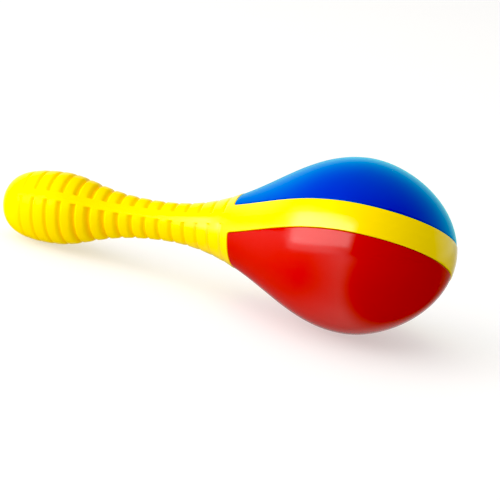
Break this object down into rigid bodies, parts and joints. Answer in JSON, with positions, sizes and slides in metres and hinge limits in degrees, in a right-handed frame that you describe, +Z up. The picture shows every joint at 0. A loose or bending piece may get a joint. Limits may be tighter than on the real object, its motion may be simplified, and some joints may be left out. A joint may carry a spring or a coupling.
{
  "type": "toy maraca",
  "caption": "Round-headed toy maraca with a hoop-framed two-colour head, a grooved bulb-ended handle and loose pellets sealed in the head.",
  "frame": {"origin": "on the surface that the maraca lies on, under the middle of its bounding box", "axes": "+X along the maraca from the end of the handle towards the head, +Z up. The maraca lies at rest on its head and on the bulb of its handle, so its long axis climbs by 8.5 degrees towards the head."},
  "size_m": [0.1834, 0.0666, 0.0666],
  "materials": {
    "yellow_plastic": "glossy moulded plastic",
    "blue_plastic": "glossy moulded plastic",
    "red_plastic": "glossy moulded plastic",
    "natural_plastic": "plain moulded plastic",
    "pellet_steel": "dull steel shot"
  },
  "bodies": {
    "casing": {"upper_frame": "yellow_plastic", "lower_frame": "yellow_plastic", "blue_shell": "blue_plastic", "red_shell": "red_plastic", "neck_disc": "natural_plastic"},
    "pellet_01": {"pellet_01": "pellet_steel"},
    "pellet_02": {"pellet_02": "pellet_steel"},
    "pellet_03": {"pellet_03": "pellet_steel"},
    "pellet_04": {"pellet_04": "pellet_steel"},
    "pellet_05": {"pellet_05": "pellet_steel"},
    "pellet_06": {"pellet_06": "pellet_steel"},
    "pellet_07": {"pellet_07": "pellet_steel"},
    "pellet_08": {"pellet_08": "pellet_steel"},
    "pellet_09": {"pellet_09": "pellet_steel"},
    "pellet_10": {"pellet_10": "pellet_steel"},
    "pellet_11": {"pellet_11": "pellet_steel"},
    "pellet_12": {"pellet_12": "pellet_steel"},
    "pellet_13": {"pellet_13": "pellet_steel"},
    "pellet_14": {"pellet_14": "pellet_steel"},
    "pellet_15": {"pellet_15": "pellet_steel"},
    "pellet_16": {"pellet_16": "pellet_steel"},
    "pellet_17": {"pellet_17": "pellet_steel"},
    "pellet_18": {"pellet_18": "pellet_steel"},
    "pellet_19": {"pellet_19": "pellet_steel"},
    "pellet_20": {"pellet_20": "pellet_steel"},
    "pellet_21": {"pellet_21": "pellet_steel"},
    "pellet_22": {"pellet_22": "pellet_steel"},
    "pellet_23": {"pellet_23": "pellet_steel"},
    "pellet_24": {"pellet_24": "pellet_steel"},
    "pellet_25": {"pellet_25": "pellet_steel"}
  },
  "joints": [
    {"name": "pellet_01_lift", "type": "slide", "parent": "casing", "child": "pellet_01", "axis": [0, 0, 1], "range_m": [0, 0.047]},
    {"name": "pellet_02_lift", "type": "slide", "parent": "casing", "child": "pellet_02", "axis": [0, 0, 1], "range_m": [0, 0.051]},
    {"name": "pellet_03_lift", "type": "slide", "parent": "casing", "child": "pellet_03", "axis": [0, 0, 1], "range_m": [0, 0.0532]},
    {"name": "pellet_04_lift", "type": "slide", "parent": "casing", "child": "pellet_04", "axis": [0, 0, 1], "range_m": [0, 0.0534]},
    {"name": "pellet_05_lift", "type": "slide", "parent": "casing", "child": "pellet_05", "axis": [0, 0, 1], "range_m": [0, 0.0516]},
    {"name": "pellet_06_lift", "type": "slide", "parent": "casing", "child": "pellet_06", "axis": [0, 0, 1], "range_m": [0, 0.052]},
    {"name": "pellet_07_lift", "type": "slide", "parent": "casing", "child": "pellet_07", "axis": [0, 0, 1], "range_m": [0, 0.0549]},
    {"name": "pellet_08_lift", "type": "slide", "parent": "casing", "child": "pellet_08", "axis": [0, 0, 1], "range_m": [0, 0.0561]},
    {"name": "pellet_09_lift", "type": "slide", "parent": "casing", "child": "pellet_09", "axis": [0, 0, 1], "range_m": [0, 0.0554]},
    {"name": "pellet_10_lift", "type": "slide", "parent": "casing", "child": "pellet_10", "axis": [0, 0, 1], "range_m": [0, 0.0526]},
    {"name": "pellet_11_lift", "type": "slide", "parent": "casing", "child": "pellet_11", "axis": [0, 0, 1], "range_m": [0, 0.0509]},
    {"name": "pellet_12_lift", "type": "slide", "parent": "casing", "child": "pellet_12", "axis": [0, 0, 1], "range_m": [0, 0.0546]},
    {"name": "pellet_13_lift", "type": "slide", "parent": "casing", "child": "pellet_13", "axis": [0, 0, 1], "range_m": [0, 0.0566]},
    {"name": "pellet_14_lift", "type": "slide", "parent": "casing", "child": "pellet_14", "axis": [0, 0, 1], "range_m": [0, 0.0568]},
    {"name": "pellet_15_lift", "type": "slide", "parent": "casing", "child": "pellet_15", "axis": [0, 0, 1], "range_m": [0, 0.0551]},
    {"name": "pellet_16_lift", "type": "slide", "parent": "casing", "child": "pellet_16", "axis": [0, 0, 1], "range_m": [0, 0.052]},
    {"name": "pellet_17_lift", "type": "slide", "parent": "casing", "child": "pellet_17", "axis": [0, 0, 1], "range_m": [0, 0.0549]},
    {"name": "pellet_18_lift", "type": "slide", "parent": "casing", "child": "pellet_18", "axis": [0, 0, 1], "range_m": [0, 0.0561]},
    {"name": "pellet_19_lift", "type": "slide", "parent": "casing", "child": "pellet_19", "axis": [0, 0, 1], "range_m": [0, 0.0554]},
    {"name": "pellet_20_lift", "type": "slide", "parent": "casing", "child": "pellet_20", "axis": [0, 0, 1], "range_m": [0, 0.0526]},
    {"name": "pellet_21_lift", "type": "slide", "parent": "casing", "child": "pellet_21", "axis": [0, 0, 1], "range_m": [0, 0.047]},
    {"name": "pellet_22_lift", "type": "slide", "parent": "casing", "child": "pellet_22", "axis": [0, 0, 1], "range_m": [0, 0.051]},
    {"name": "pellet_23_lift", "type": "slide", "parent": "casing", "child": "pellet_23", "axis": [0, 0, 1], "range_m": [0, 0.0532]},
    {"name": "pellet_24_lift", "type": "slide", "parent": "casing", "child": "pellet_24", "axis": [0, 0, 1], "range_m": [0, 0.0534]},
    {"name": "pellet_25_lift", "type": "slide", "parent": "casing", "child": "pellet_25", "axis": [0, 0, 1], "range_m": [0, 0.0516]}
  ]
}
